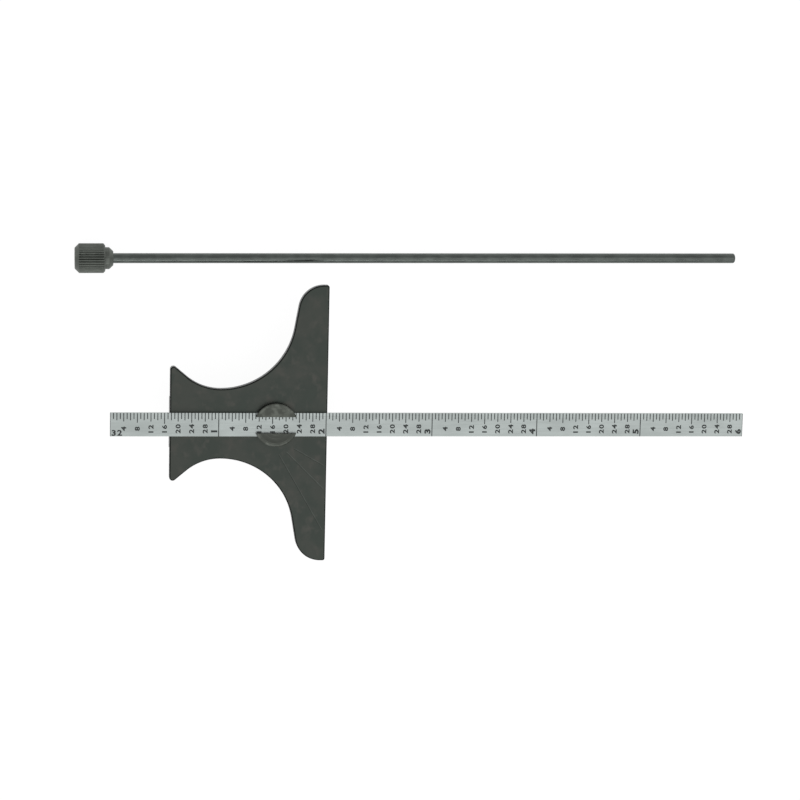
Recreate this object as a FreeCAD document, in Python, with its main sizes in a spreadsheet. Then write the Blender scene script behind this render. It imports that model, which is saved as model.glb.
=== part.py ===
import FreeCAD, Part

import math
import os
import re

import Sketcher

# Depth gauge with a sliding rule, a turning clamp turret and a separate measuring rod.
# Millimetres. The gauge lies flat on the closed end of its clamp nut, face up (+Z).
# The origin is the middle of that end, on the turret's axis. +X runs along the rule to its
# measuring end, so the head's base face looks along +X, and the loose rod lies on the +Y side.

DRIVING_SIZES = {
    # Rule
    "rule_length": 152.4,
    "rule_width": 5.56,
    "rule_thickness": 1.0,
    "rule_reach": 101.2,
    # Head, seen from the front
    "base_length": 66.0,
    "base_to_turret": 12.3,
    "base_to_waist": 25.3,
    "waist_to_top": 11.92,
    "waist_width": 16.6,
    "horn_width": 29.0,
    "horn_scallop_share": 0.853,
    "horn_round": 0.8,
    "wing_tip_width": 6.24,
    "wing_taper_angle": 9.93,
    "wing_tip_round_share": 0.97,
    "base_corner_round": 0.5,
    # Head, through its thickness
    "head_thickness": 6.35,
    "rib_thickness": 4.76,
    "plate_thickness": 2.4,
    "rib_width": 12.0,
    "boss_diameter": 15.4,
    "front_edge_round": 0.35,
    "back_edge_chamfer": 0.25,
    "rib_edge_chamfer": 0.4,
    # Turret
    "cap_diameter": 10.3,
    "cap_rise": 2.0,
    "cap_chamfer": 0.2,
    "cap_window_width": 3.9,
    "shank_diameter": 8.4,
    "rod_hole_roof": 0.5,
    "rod_hole_floor": 0.4,
    "stem_diameter": 4.17,
    "stem_end_chamfer": 0.4,
    # Friction spring and its seat in the back of the head
    "spring_wire": 0.5,
    "spring_diameter": 6.7,
    "spring_turns": 2.5,
    "spring_seat_depth": 2.0,
    "spring_seat_clearance": 0.35,
    # Washer and nut
    "washer_diameter": 10.4,
    "washer_thickness": 0.8,
    "washer_chamfer": 0.15,
    "nut_diameter": 12.7,
    "nut_grip_height": 4.4,
    "nut_chamfer": 0.45,
    "nut_hub_diameter": 8.4,
    "nut_hub_height": 0.6,
    "nut_end_thickness": 1.2,
    "nut_ridges": 48,
    "nut_knurl_depth": 0.28,
    # Rod and its knob
    "rod_diameter": 2.38,
    "rod_reach": 151.6,
    "rod_tip_round": 0.45,
    "rod_seat_depth": 5.6,
    "knob_diameter": 7.0,
    "knob_length": 7.1,
    "knob_end_chamfer": 1.0,
    "knob_rim_chamfer": 0.4,
    "knob_ridges": 36,
    "knob_knurl_depth": 0.2,
    "shoulder_diameter": 5.2,
    "shoulder_length": 0.95,
    "shoulder_taper_length": 0.95,
    "shoulder_nose_diameter": 3.4,
    # Where the loose rod lies
    "rod_knob_back": 47.1,
    "rod_knob_aside": 37.95,
    "rod_tip_aside": 39.35,
    # Fits and travel
    "clamp_travel": 1.19,
    "shaft_clearance": 0.04,
    "slot_clearance": 0.05,
    "seat_gap": 0.01,
    "cap_gap": 0.1,
    "rod_clearance": 0.06,
    "cut_overrun": 2.0,
}

# Levels above the surface that the gauge lies on, each worked out from the one below it
LEVELS = {}
LEVELS["nut_top"] = "(nut_grip_height + nut_hub_height)"
LEVELS["washer_top"] = f"({LEVELS['nut_top']} + washer_thickness)"
LEVELS["boss_back"] = f"({LEVELS['washer_top']} + clamp_travel + seat_gap)"
LEVELS["face"] = f"({LEVELS['boss_back']} + head_thickness)"
LEVELS["rib_back"] = f"({LEVELS['face']} - rib_thickness)"
LEVELS["plate_back"] = f"({LEVELS['face']} - plate_thickness)"
LEVELS["plate_middle"] = f"({LEVELS['face']} - plate_thickness / 2)"
LEVELS["spring_seat"] = f"({LEVELS['boss_back']} + spring_seat_depth)"
LEVELS["rule_bottom"] = f"({LEVELS['face']} + seat_gap)"
LEVELS["slot_floor"] = f"({LEVELS['face']} - seat_gap)"
LEVELS["slot_roof"] = f"({LEVELS['rule_bottom']} + rule_thickness + seat_gap)"
LEVELS["cap_bottom"] = f"({LEVELS['face']} + cap_gap)"
LEVELS["cap_top"] = f"({LEVELS['face']} + cap_rise)"
LEVELS["rod_hole"] = f"({LEVELS['slot_floor']} - rod_hole_roof - rod_diameter / 2 - rod_clearance)"
LEVELS["shank_end"] = f"({LEVELS['rod_hole']} - rod_diameter / 2 - rod_clearance - rod_hole_floor)"
LEVELS["shank_floor"] = f"({LEVELS['shank_end']} - slot_clearance)"
LEVELS["nut_bore_end"] = "nut_end_thickness"
LEVELS["stem_end"] = "(nut_end_thickness + clamp_travel + slot_clearance)"

# Places along the rule, and half widths of the head
TOP = "(base_to_turret - base_to_waist - waist_to_top)"
WAIST = "(base_to_turret - base_to_waist)"
HORN_SCALLOP = (
    "(horn_scallop_share * (waist_to_top ^ 2 + ((horn_width - waist_width) / 2) ^ 2)"
    " / (horn_width - waist_width))"
)
WING_ROOT = "(base_to_turret - wing_tip_width - base_length / 2 * tan(wing_taper_angle))"
WING_SCALLOP = (
    f"((({WING_ROOT} - {WAIST}) * cos(wing_taper_angle) + waist_width / 2 * sin(wing_taper_angle))"
    " / (1 - sin(wing_taper_angle)))"
)
SLOT_HALF = "(rule_width / 2 + slot_clearance)"

# Edges are found by their place, to within this share of the rule's length
SAME_PLACE_SHARE = 1e-6
# Each turn of the spring is laid out in this many steps and measured on this many points
SPRING_STEP_COUNT = 4
SPRING_POINT_COUNT = 48
# The spring's wire has this many flats, because as a round wire it would outweigh the rest
WIRE_FLAT_COUNT = 8

document = FreeCAD.newDocument("DepthGauge")
sheet = document.addObject("Spreadsheet::Sheet", "Sizes")
for row, (alias, value) in enumerate(DRIVING_SIZES.items(), start=1):
    sheet.set(f"A{row}", alias.replace("_", " "))
    sheet.set(f"B{row}", str(value))
    sheet.setAlias(f"B{row}", alias)
document.recompute()


def bound(expression):
    """Write an expression on size names as one that any object of the document can hold."""
    return re.sub(r"[a-z]+(?:_[a-z]+)+", lambda word: "Sizes." + word.group(0), expression)


def measure(expression):
    """Work out an expression on size names, in millimetres."""
    return float(sheet.evalExpression(bound(expression)))


def level(name):
    """The expression for one of the named levels."""
    return LEVELS[name]


def heading(angle):
    """Level vector of length one, at an angle in radians from the X axis."""
    return FreeCAD.Vector(math.cos(angle), math.sin(angle), 0)


def new_body(label):
    body = document.addObject("PartDesign::Body", label)
    body.Label = label
    return body


def origin_feature(body, role):
    return [feature for feature in body.Origin.OriginFeatures if feature.Role == role][0]


def new_sketch(body, name, role, offset=None):
    """A sketch on one of the body's own planes, moved along the plane's normal by an expression."""
    sketch = body.newObject("Sketcher::SketchObject", name)
    sketch.AttachmentSupport = [(origin_feature(body, role), "")]
    sketch.MapMode = "FlatFace"
    if offset is not None:
        sketch.setExpression("AttachmentOffset.Base.z", bound(offset))
    return sketch


def hold(sketch, geometry, vertex, across, up):
    """Fix one vertex at a place given by two expressions, measured from the sketch's origin."""
    for kind, axis, expression in (("DistanceX", -2, across), ("DistanceY", -1, up)):
        if expression == "0":
            sketch.addConstraint(Sketcher.Constraint("PointOnObject", geometry, vertex, axis))
            continue
        number = sketch.addConstraint(
            Sketcher.Constraint(kind, -1, 1, geometry, vertex, measure(expression)))
        sketch.setExpression(f"Constraints[{number}]", bound(expression))


def polygon(sketch, corners):
    """A closed outline of straight lines whose corners are pairs of expressions."""
    places = [FreeCAD.Vector(measure(across), measure(up), 0) for across, up in corners]
    count = len(places)
    for index in range(count):
        sketch.addGeometry(Part.LineSegment(places[index], places[(index + 1) % count]), False)
    for index in range(count):
        sketch.addConstraint(Sketcher.Constraint("Coincident", index, 2, (index + 1) % count, 1))
    for index, (across, up) in enumerate(corners):
        hold(sketch, index, 1, across, up)


def circle(sketch, across, up, radius):
    """A circle whose centre and radius are expressions."""
    centre = FreeCAD.Vector(measure(across), measure(up), 0)
    index = sketch.addGeometry(Part.Circle(centre, FreeCAD.Vector(0, 0, 1), measure(radius)), False)
    hold(sketch, index, 3, across, up)
    number = sketch.addConstraint(Sketcher.Constraint("Radius", index, measure(radius)))
    sketch.setExpression(f"Constraints[{number}]", bound(radius))


def add_feature(body, kind, name, profile, **properties):
    feature = body.newObject(f"PartDesign::{kind}", name)
    feature.Profile = profile
    feature.Refine = True
    for key, setting in properties.items():
        setattr(feature, key, setting)
    return feature


def pad(body, name, profile, length):
    feature = add_feature(body, "Pad", name, profile)
    feature.setExpression("Length", bound(length))
    return feature


def cut_through(body, name, profile):
    """Cut a profile through the whole body, both ways from its sketch."""
    return add_feature(body, "Pocket", name, profile, Type="ThroughAll", SideType="Symmetric")


def turn(body, name, profile, kind="Revolution", axis="V_Axis"):
    """Revolve or groove a half profile a full turn about one of its sketch's axes."""
    return add_feature(body, kind, name, profile, ReferenceAxis=(profile, [axis]), Angle=360.0)


def edges_where(feature, test):
    """Names of the feature's edges that pass a test."""
    return [f"Edge{number}" for number, edge in enumerate(feature.Shape.Edges, start=1) if test(edge)]


def dress_edges(body, kind, name, feature, size, test):
    """Fillet or chamfer the feature's edges that pass a test."""
    document.recompute()
    dressed = body.newObject(f"PartDesign::{kind}", name)
    dressed.Base = (feature, edges_where(feature, test))
    dressed.setExpression("Radius" if kind == "Fillet" else "Size", bound(size))
    dressed.Refine = True
    return dressed


def near(one, other):
    """True for two lengths that differ only by the accuracy of the model."""
    return math.isclose(one, other, abs_tol=SAME_PLACE_SHARE * measure("rule_length"))


def flat_at(height):
    """A test for edges that lie wholly at one height."""
    return lambda edge: all(near(z, height) for z in (edge.BoundBox.ZMin, edge.BoundBox.ZMax))


def upright_at(across, aside):
    """A test for edges that stand upright at a place, on either side of the middle."""
    def test(edge):
        first, last = edge.Vertexes[0].Point, edge.Vertexes[-1].Point
        upright = near(first.x, last.x) and near(first.y, last.y)
        return upright and near(first.x, across) and near(abs(first.y), aside)
    return test


def knurl(body, name, role, axis_role, radius, depth, count):
    """Straight knurling: one V groove cut along the grip and repeated round it."""
    sketch = new_sketch(body, f"{name}Groove", role)
    root, mouth = f"({radius} - {depth})", f"({radius} + {depth})"
    polygon(sketch, [("0", root), (f"(2 * {depth})", mouth), (f"(-2 * {depth})", mouth)])
    groove = cut_through(body, f"{name}Cut", sketch)
    pattern = body.newObject("PartDesign::PolarPattern", name)
    pattern.Originals = [groove]
    pattern.Axis = (origin_feature(body, axis_role), [""])
    pattern.Angle = 360.0
    pattern.setExpression("Occurrences", bound(count))
    body.Tip = pattern
    return pattern


def make_head():
    """Plate with scalloped sides and a back rib, bored for the turret and grooved for the rod."""
    body = new_body("head")
    outline = new_sketch(body, "HeadHalfOutline", "XY_Plane", level("plate_back"))
    top, waist, base = measure(TOP), measure(WAIST), measure("base_to_turret")
    half_base, half_waist = measure("base_length / 2"), measure("waist_width / 2")
    half_horn = measure("horn_width / 2")
    wing_tip = measure("base_to_turret - wing_tip_width")
    taper = math.radians(measure("wing_taper_angle"))
    wing_radius, horn_radius = measure(WING_SCALLOP), measure(HORN_SCALLOP)
    wing_centre = FreeCAD.Vector(waist, half_waist + wing_radius, 0)
    horn_centre = FreeCAD.Vector(waist, half_waist + horn_radius, 0)
    wing_touch = wing_centre + heading(-taper) * wing_radius
    horn_corner = FreeCAD.Vector(top, half_horn, 0)
    to_corner = horn_corner - horn_centre
    touch_angle = math.atan2(to_corner.y, to_corner.x) + math.acos(horn_radius / to_corner.Length)
    horn_touch = horn_centre + heading(touch_angle) * horn_radius
    corners = [
        FreeCAD.Vector(top, 0, 0),
        FreeCAD.Vector(base, 0, 0),
        FreeCAD.Vector(base, half_base, 0),
        FreeCAD.Vector(wing_tip, half_base, 0),
        wing_touch,
    ]
    for start, end in zip(corners, corners[1:]):
        outline.addGeometry(Part.LineSegment(start, end), False)
    wing_arc = outline.addGeometry(Part.ArcOfCircle(
        Part.Circle(wing_centre, FreeCAD.Vector(0, 0, 1), wing_radius), -math.pi / 2, -taper), False)
    horn_arc = outline.addGeometry(Part.ArcOfCircle(
        Part.Circle(horn_centre, FreeCAD.Vector(0, 0, 1), horn_radius),
        touch_angle, -math.pi / 2 if touch_angle < 0 else 3 * math.pi / 2), False)
    horn_line = outline.addGeometry(Part.LineSegment(horn_touch, horn_corner), False)
    top_line = outline.addGeometry(Part.LineSegment(horn_corner, corners[0]), False)
    centre_line, base_line, end_line, wing_line = range(4)
    joints = [
        ("Coincident", centre_line, 2, base_line, 1),
        ("Coincident", base_line, 2, end_line, 1),
        ("Coincident", end_line, 2, wing_line, 1),
        ("Tangent", wing_line, 2, wing_arc, 2),
        ("Tangent", wing_arc, 1, horn_arc, 2),
        ("Tangent", horn_arc, 1, horn_line, 1),
        ("Coincident", horn_line, 2, top_line, 1),
        ("Coincident", top_line, 2, centre_line, 1),
    ]
    for joint in joints:
        outline.addConstraint(Sketcher.Constraint(*joint))
    hold(outline, centre_line, 1, TOP, "0")
    hold(outline, base_line, 1, "base_to_turret", "0")
    hold(outline, end_line, 1, "base_to_turret", "base_length / 2")
    hold(outline, wing_line, 1, "(base_to_turret - wing_tip_width)", "base_length / 2")
    hold(outline, top_line, 1, TOP, "horn_width / 2")
    hold(outline, horn_arc, 2, WAIST, "waist_width / 2")
    for arc, radius in ((wing_arc, WING_SCALLOP), (horn_arc, HORN_SCALLOP)):
        number = outline.addConstraint(Sketcher.Constraint("Radius", arc, measure(radius)))
        outline.setExpression(f"Constraints[{number}]", bound(radius))
    plate = pad(body, "HalfPlate", outline, "plate_thickness")
    mirrored = body.newObject("PartDesign::Mirrored", "Plate")
    mirrored.Originals = [plate]
    mirrored.MirrorPlane = (origin_feature(body, "XZ_Plane"), [""])
    mirrored.Refine = True
    body.Tip = mirrored
    rounded = mirrored
    for name, size, across, aside in (
            ("WingTips", "wing_tip_width * wing_tip_round_share", wing_tip, half_base),
            ("BaseCorners", "base_corner_round", base, half_base),
            ("Horns", "horn_round", top, half_horn)):
        rounded = dress_edges(body, "Fillet", name, rounded, size, upright_at(across, aside))
    front = dress_edges(body, "Fillet", "FrontEdge", rounded, "front_edge_round",
                        flat_at(measure(level("face"))))
    dress_edges(body, "Chamfer", "BackEdge", front, "back_edge_chamfer",
                flat_at(measure(level("plate_back"))))
    add_rib_and_boss(body)
    bore_profile = new_sketch(body, "BoreProfile", "XZ_Plane")
    spring_seat = "(spring_diameter / 2 + spring_seat_clearance)"
    stem_hole = "(stem_diameter / 2 + shaft_clearance)"
    shank_bore = "(shank_diameter / 2 + shaft_clearance)"
    above, below = f"({level('face')} + cut_overrun)", f"({level('boss_back')} - cut_overrun)"
    polygon(bore_profile, [
        ("0", below), (spring_seat, below), (spring_seat, level("spring_seat")),
        (stem_hole, level("spring_seat")), (stem_hole, level("shank_floor")),
        (shank_bore, level("shank_floor")), (shank_bore, above), ("0", above)])
    turn(body, "Bore", bore_profile, "Groove")
    make_rod_groove(body)
    return body


def add_rib_and_boss(body):
    """Rib along the back, the full height of the head, and a round boss under the turret."""
    rib_outline = new_sketch(body, "RibOutline", "XY_Plane", level("rib_back"))
    low, high = "(-1 * rib_width / 2)", "rib_width / 2"
    polygon(rib_outline, [(TOP, low), ("base_to_turret", low), ("base_to_turret", high), (TOP, high)])
    rib = pad(body, "Rib", rib_outline, f"({level('plate_middle')} - {level('rib_back')})")
    dress_edges(body, "Chamfer", "RibEdge", rib, "rib_edge_chamfer", flat_at(measure(level("rib_back"))))
    boss_outline = new_sketch(body, "BossOutline", "XY_Plane", level("boss_back"))
    circle(boss_outline, "0", "0", "boss_diameter / 2")
    boss = pad(body, "Boss", boss_outline, f"({level('plate_middle')} - {level('boss_back')})")
    dress_edges(body, "Chamfer", "BossEdge", boss, "rib_edge_chamfer",
                flat_at(measure(level("boss_back"))))
    document.recompute()


def make_rod_groove(body):
    """Round-bottomed groove along the head's face, under the rule, that the rod lies in."""
    profile = new_sketch(body, "RodGrooveProfile", "YZ_Plane")
    half_width = "(rod_diameter / 2 + rod_clearance)"
    across, centre_height = measure(half_width), measure(level("rod_hole"))
    mouth = f"({level('face')} + cut_overrun)"
    mouth_height = measure(mouth)
    left_mouth = FreeCAD.Vector(-across, mouth_height, 0)
    right_mouth = FreeCAD.Vector(across, mouth_height, 0)
    left_spring = FreeCAD.Vector(-across, centre_height, 0)
    right_spring = FreeCAD.Vector(across, centre_height, 0)
    profile.addGeometry(Part.LineSegment(right_mouth, left_mouth), False)
    profile.addGeometry(Part.LineSegment(left_mouth, left_spring), False)
    profile.addGeometry(Part.ArcOfCircle(
        Part.Circle(FreeCAD.Vector(0, centre_height, 0), FreeCAD.Vector(0, 0, 1), across),
        math.pi, 2 * math.pi), False)
    profile.addGeometry(Part.LineSegment(right_spring, right_mouth), False)
    for joint in ((0, 2, 1, 1), (1, 2, 2, 1), (2, 2, 3, 1), (3, 2, 0, 1)):
        profile.addConstraint(Sketcher.Constraint("Coincident", *joint))
    hold(profile, 0, 1, half_width, mouth)
    hold(profile, 1, 1, f"(-1 * {half_width})", mouth)
    hold(profile, 2, 3, "0", level("rod_hole"))
    profile.addConstraint(Sketcher.Constraint("Vertical", 1))
    profile.addConstraint(Sketcher.Constraint("Vertical", 3))
    profile.addConstraint(Sketcher.Constraint("PointOnObject", 2, 1, 1))
    profile.addConstraint(Sketcher.Constraint("Horizontal", 2, 1, 2, 2))
    cut_through(body, "RodGroove", profile)


def make_turret():
    """Cap that grips the rule, shank with the cross hole for the rod, and threaded stem."""
    body = new_body("turret")
    profile = new_sketch(body, "TurretProfile", "XZ_Plane")
    cap, shank, stem = "cap_diameter / 2", "shank_diameter / 2", "stem_diameter / 2"
    polygon(profile, [
        ("0", level("stem_end")), (f"({stem} - stem_end_chamfer)", level("stem_end")),
        (stem, f"({level('stem_end')} + stem_end_chamfer)"), (stem, level("shank_end")),
        (shank, level("shank_end")), (shank, level("cap_bottom")), (cap, level("cap_bottom")),
        (cap, f"({level('cap_top')} - cap_chamfer)"), (f"({cap} - cap_chamfer)", level("cap_top")),
        ("0", level("cap_top"))])
    turn(body, "TurretTurned", profile)
    slot = new_sketch(body, "RuleSlotProfile", "YZ_Plane")
    window, above = "cap_window_width / 2", f"({level('cap_top')} + cut_overrun)"
    polygon(slot, [
        (SLOT_HALF, level("slot_floor")), (SLOT_HALF, level("slot_roof")),
        (window, level("slot_roof")), (window, above),
        (f"(-1 * {window})", above), (f"(-1 * {window})", level("slot_roof")),
        (f"(-1 * {SLOT_HALF})", level("slot_roof")), (f"(-1 * {SLOT_HALF})", level("slot_floor"))])
    cut_through(body, "RuleSlot", slot)
    hole = new_sketch(body, "RodHoleProfile", "YZ_Plane")
    circle(hole, "0", level("rod_hole"), "(rod_diameter / 2 + rod_clearance)")
    cut_through(body, "RodHole", hole)
    return body


def make_rule():
    """Narrow flat rule that lies on the head's face and passes through the turret's slot."""
    body = new_body("rule")
    blank = new_sketch(body, "RuleOutline", "XY_Plane", level("rule_bottom"))
    end = "(base_to_turret + rule_reach)"
    start = f"({end} - rule_length)"
    low, high = "(-1 * rule_width / 2)", "rule_width / 2"
    polygon(blank, [(start, low), (end, low), (end, high), (start, high)])
    pad(body, "RuleBlank", blank, "rule_thickness")
    return body


def make_thrust_washer():
    body = new_body("thrust_washer")
    profile = new_sketch(body, "WasherProfile", "XZ_Plane")
    hole, rim = "(stem_diameter / 2 + shaft_clearance)", "washer_diameter / 2"
    bottom, top = level("nut_top"), level("washer_top")
    polygon(profile, [
        (hole, bottom), (f"({rim} - washer_chamfer)", bottom), (rim, f"({bottom} + washer_chamfer)"),
        (rim, f"({top} - washer_chamfer)"), (f"({rim} - washer_chamfer)", top), (hole, top)])
    turn(body, "WasherTurned", profile)
    return body


def make_clamp_nut():
    """Knurled nut with a closed flat end, which is also the foot that the gauge lies on."""
    body = new_body("clamp_nut")
    profile = new_sketch(body, "NutProfile", "XZ_Plane")
    bore, hub, rim = "(stem_diameter / 2 + shaft_clearance)", "nut_hub_diameter / 2", "nut_diameter / 2"
    polygon(profile, [
        ("0", "0"), (f"({rim} - nut_chamfer)", "0"), (rim, "nut_chamfer"),
        (rim, "(nut_grip_height - nut_chamfer)"), (f"({rim} - nut_chamfer)", "nut_grip_height"),
        (hub, "nut_grip_height"), (hub, level("nut_top")), (bore, level("nut_top")),
        (bore, level("nut_bore_end")), ("0", level("nut_bore_end"))])
    turn(body, "NutTurned", profile)
    knurl(body, "NutKnurl", "XY_Plane", "Z_Axis", rim, "nut_knurl_depth", "nut_ridges")
    return body


def rod_places():
    """Places along the rod's own axis, from the back of the knob."""
    shoulder = "(knob_length + shoulder_length)"
    nose = f"({shoulder} + shoulder_taper_length)"
    tip = f"({nose} + rod_reach)"
    return shoulder, nose, tip


def rod_placement():
    """The rod lies on the rim of its knob and on its tip, turned a little from the rule's line."""
    length = measure(rod_places()[2])
    knob_rim = measure("knob_length - knob_rim_chamfer")
    tip_rim = length - measure("rod_tip_round")
    knob_radius, rod_radius = measure("knob_diameter / 2"), measure("rod_diameter / 2")
    pitch = math.atan2(knob_radius - rod_radius, tip_rim - knob_rim)
    aside = measure("rod_tip_aside - rod_knob_aside")
    yaw = math.asin(aside / (length * math.cos(pitch)))
    height = knob_rim * math.sin(pitch) + knob_radius * math.cos(pitch)
    place = FreeCAD.Vector(-measure("rod_knob_back"), measure("rod_knob_aside"), height)
    turned = FreeCAD.Rotation(FreeCAD.Vector(0, 0, 1), math.degrees(yaw))
    tilted = FreeCAD.Rotation(FreeCAD.Vector(0, 1, 0), math.degrees(pitch))
    return FreeCAD.Placement(place, turned.multiply(tilted))


def make_rod(placement):
    """Plain round rod with a rounded tip, its other end seated in the knob."""
    body = new_body("rod")
    tip = rod_places()[2]
    start, radius = "(knob_length - rod_seat_depth)", "rod_diameter / 2"
    profile = new_sketch(body, "RodProfile", "XZ_Plane")
    polygon(profile, [(start, "0"), (tip, "0"), (tip, radius), (start, radius)])
    turned = turn(body, "RodTurned", profile, axis="H_Axis")
    tip_at = measure(tip)
    dress_edges(body, "Fillet", "RodTip", turned, "rod_tip_round",
                lambda edge: near(edge.BoundBox.XMin, tip_at))
    body.Placement = placement
    return body


def make_rod_knob(placement):
    """Straight-knurled grip with a tapered shoulder, bored for the rod."""
    body = new_body("rod_knob")
    shoulder_end, nose_end, _ = rod_places()
    rim, collar = "knob_diameter / 2", "shoulder_diameter / 2"
    nose, bore = "shoulder_nose_diameter / 2", "rod_diameter / 2"
    profile = new_sketch(body, "KnobProfile", "XZ_Plane")
    polygon(profile, [
        ("0", "0"), ("0", f"({rim} - knob_end_chamfer)"), ("knob_end_chamfer", rim),
        ("(knob_length - knob_rim_chamfer)", rim), ("knob_length", f"({rim} - knob_rim_chamfer)"),
        ("knob_length", collar), (shoulder_end, collar), (nose_end, nose), (nose_end, bore),
        ("(knob_length - rod_seat_depth)", bore), ("(knob_length - rod_seat_depth)", "0")])
    turn(body, "KnobTurned", profile, axis="H_Axis")
    knurl(body, "KnobKnurl", "YZ_Plane", "X_Axis", rim, "knob_knurl_depth", "knob_ridges")
    body.Placement = placement
    return body


def biarc(start, start_way, end, end_way):
    """Two arcs that join at a common tangent and meet both ends in their given directions."""
    chord = end - start
    ways = start_way + end_way
    spread = 2 * (1 - start_way.dot(end_way))
    along = chord.dot(ways)
    reach = (math.sqrt(along ** 2 + spread * chord.dot(chord)) - along) / spread
    apex_one, apex_two = start + start_way * reach, end - end_way * reach
    middle = (apex_one + apex_two) * 0.5
    arcs = []
    for first, apex, last in ((start, apex_one, middle), (middle, apex_two, end)):
        inward = (first - apex) + (last - apex)
        half_angle = (first - apex).getAngle(last - apex) / 2
        crown = apex + inward.normalize() * (reach * (1 - math.sin(half_angle)) / math.cos(half_angle))
        arcs.append(Part.Arc(first, crown, last).toShape())
    return arcs


def make_friction_spring():
    """Open coil spring round the stem, between the washer and its seat in the head."""
    wire_radius = measure("spring_wire / 2")
    radius = measure("spring_diameter / 2") - wire_radius
    bottom = measure(level("washer_top")) + wire_radius + measure("seat_gap")
    rise = measure(level("spring_seat")) - wire_radius - measure("seat_gap") - bottom
    turns = measure("spring_turns")
    steps = round(SPRING_STEP_COUNT * turns)
    sweep = 2 * math.pi * turns
    climb = rise / sweep
    up = FreeCAD.Vector(0, 0, 1)

    def point(angle):
        return heading(angle) * radius + up * (bottom + climb * angle)

    def way(angle):
        return (heading(angle + math.pi / 2) * radius + up * climb).normalize()

    angles = [sweep * step / steps for step in range(steps + 1)]
    arcs = []
    for low, high in zip(angles, angles[1:]):
        arcs += biarc(point(low), way(low), point(high), way(high))
    path = Part.Wire(arcs)
    corners = []
    for flat in range(WIRE_FLAT_COUNT):
        around = FreeCAD.Rotation(way(0), 360.0 * (flat + 0.5) / WIRE_FLAT_COUNT)
        corners.append(point(0) + around.multVec(heading(0)) * wire_radius)
    section = Part.makePolygon(corners + corners[:1])
    pipe = Part.BRepOffsetAPI.MakePipeShell(path)
    pipe.add(section)
    pipe.build()
    pipe.makeSolid()
    spring = document.addObject("Part::Feature", "friction_spring")
    spring.Label = "friction_spring"
    spring.Shape = pipe.shape()
    print_spring(spring.Shape.Volume, path, turns, wire_radius)
    return spring


def print_spring(volume, path, turns, wire_radius):
    """Print the least gap between turns, from points on the wire's centre line, and the volumes."""
    points = path.discretize(Number=round(SPRING_POINT_COUNT * turns) + 1)
    half_turn = round(SPRING_POINT_COUNT / 2)
    centres = min(
        one.distanceToPoint(other)
        for number, one in enumerate(points) for other in points[number + half_turn:])
    section = WIRE_FLAT_COUNT / 2 * wire_radius ** 2 * math.sin(2 * math.pi / WIRE_FLAT_COUNT)
    ideal = section * path.Length
    print(f"friction_spring: least gap between turns {centres - 2 * wire_radius:.3f} mm, "
          f"volume {volume:.3f} mm3, section times length {ideal:.3f} mm3")


def check_document():
    """Stop on any object that failed to compute, which a recompute alone doesn't report."""
    for thing in document.Objects:
        if {"Invalid", "Error"} & set(thing.State):
            raise RuntimeError(f"{thing.Label}: {thing.State}")


def write_pieces(pieces):
    os.makedirs("parts", exist_ok=True)
    for piece in pieces:
        shape = piece.Shape
        if shape.isNull() or not shape.isValid() or not shape.Solids:
            raise RuntimeError(f"{piece.Label}: no valid solid")
    for piece in pieces:
        piece.Shape.exportStep(f"parts/{piece.Label}.step")
        box = piece.Shape.BoundBox
        print(f"{piece.Label:16s} {len(piece.Shape.Solids)} solid, {len(piece.Shape.Faces)} faces, "
              f"{piece.Shape.Volume:9.2f} mm3, X {box.XMin:.2f} {box.XMax:.2f} "
              f"Y {box.YMin:.2f} {box.YMax:.2f} Z {box.ZMin:.2f} {box.ZMax:.2f}")


lying_rod = rod_placement()
gauge = [make_head(), make_turret(), make_rule(), make_friction_spring(), make_thrust_washer(),
         make_clamp_nut(), make_rod(lying_rod), make_rod_knob(lying_rod)]
document.recompute()
check_document()
write_pieces(gauge)
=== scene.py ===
"""Finishes, scales and studio for a depth gauge: a flat scalloped head, a turning clamp turret,
a narrow graduated rule and a loose knobbed measuring rod."""

import math

import bmesh
import bpy
from mathutils import Matrix, Vector


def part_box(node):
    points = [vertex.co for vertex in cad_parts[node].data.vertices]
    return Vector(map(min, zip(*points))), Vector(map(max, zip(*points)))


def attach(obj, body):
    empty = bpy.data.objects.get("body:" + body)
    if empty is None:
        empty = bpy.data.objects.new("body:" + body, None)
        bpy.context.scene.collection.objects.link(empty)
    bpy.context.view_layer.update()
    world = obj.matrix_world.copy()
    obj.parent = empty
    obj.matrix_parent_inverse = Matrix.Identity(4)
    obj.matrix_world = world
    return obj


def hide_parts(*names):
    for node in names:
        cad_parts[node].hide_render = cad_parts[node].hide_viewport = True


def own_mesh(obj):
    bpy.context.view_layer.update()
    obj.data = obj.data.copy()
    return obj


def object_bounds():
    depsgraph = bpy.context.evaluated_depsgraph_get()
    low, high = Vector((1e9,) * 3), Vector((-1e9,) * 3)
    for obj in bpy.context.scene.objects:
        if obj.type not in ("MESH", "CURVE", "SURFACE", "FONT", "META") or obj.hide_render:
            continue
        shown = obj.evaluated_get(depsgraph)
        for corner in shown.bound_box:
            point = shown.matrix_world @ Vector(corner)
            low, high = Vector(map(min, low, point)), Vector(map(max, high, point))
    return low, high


bl_info = {
    "name": "Depth gauge",
    "version": (1, 0, 0),
    "blender": (4, 5, 0),
    "location": "View3D > Sidebar > Depth gauge",
    "description": "Dresses the pieces of a depth gauge and sets up its studio",
    "category": "Object",
}

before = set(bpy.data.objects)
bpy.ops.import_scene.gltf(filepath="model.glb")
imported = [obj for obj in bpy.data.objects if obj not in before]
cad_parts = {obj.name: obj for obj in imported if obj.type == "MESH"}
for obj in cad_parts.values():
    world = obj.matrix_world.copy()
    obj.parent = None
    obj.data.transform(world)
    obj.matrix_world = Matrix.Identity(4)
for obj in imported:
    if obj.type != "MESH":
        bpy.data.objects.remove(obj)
CAD_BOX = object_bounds()
MM = 0.001
INCH = 0.0254

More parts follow.
